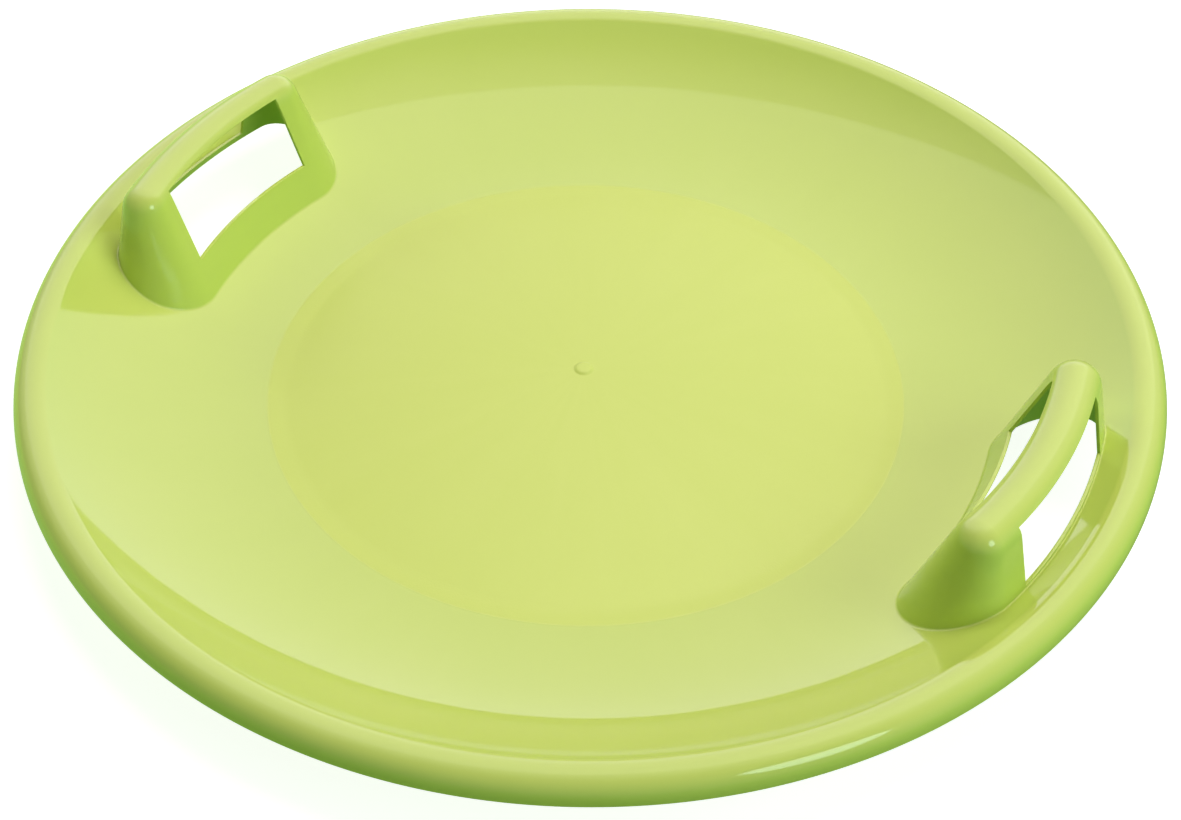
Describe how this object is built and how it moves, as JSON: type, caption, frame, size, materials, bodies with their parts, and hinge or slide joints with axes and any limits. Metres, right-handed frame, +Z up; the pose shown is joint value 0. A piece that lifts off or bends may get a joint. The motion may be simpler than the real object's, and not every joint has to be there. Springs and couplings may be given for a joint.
{
  "type": "snow saucer sled",
  "caption": "Round moulded plastic snow slider: a low crowned seat in a curved bowl, a rolled rim, and hollow raised hand grips on opposite sides.",
  "frame": {"origin": "the middle of the slider on the ground it rests on", "axes": "+Z up out of the bowl, X through both hand grips"},
  "size_m": [0.59, 0.59, 0.0781],
  "materials": {
    "lime_gloss": "lime green polyethylene, smooth and softly glossy",
    "lime_satin": "the same lime green polyethylene with a fine satin grain"
  },
  "bodies": {
    "root": {"seat_panel": "lime_satin", "slide_pan": "lime_gloss", "rolled_rim": "lime_gloss", "right_handle": "lime_gloss", "left_handle": "lime_gloss"}
  },
  "joints": []
}
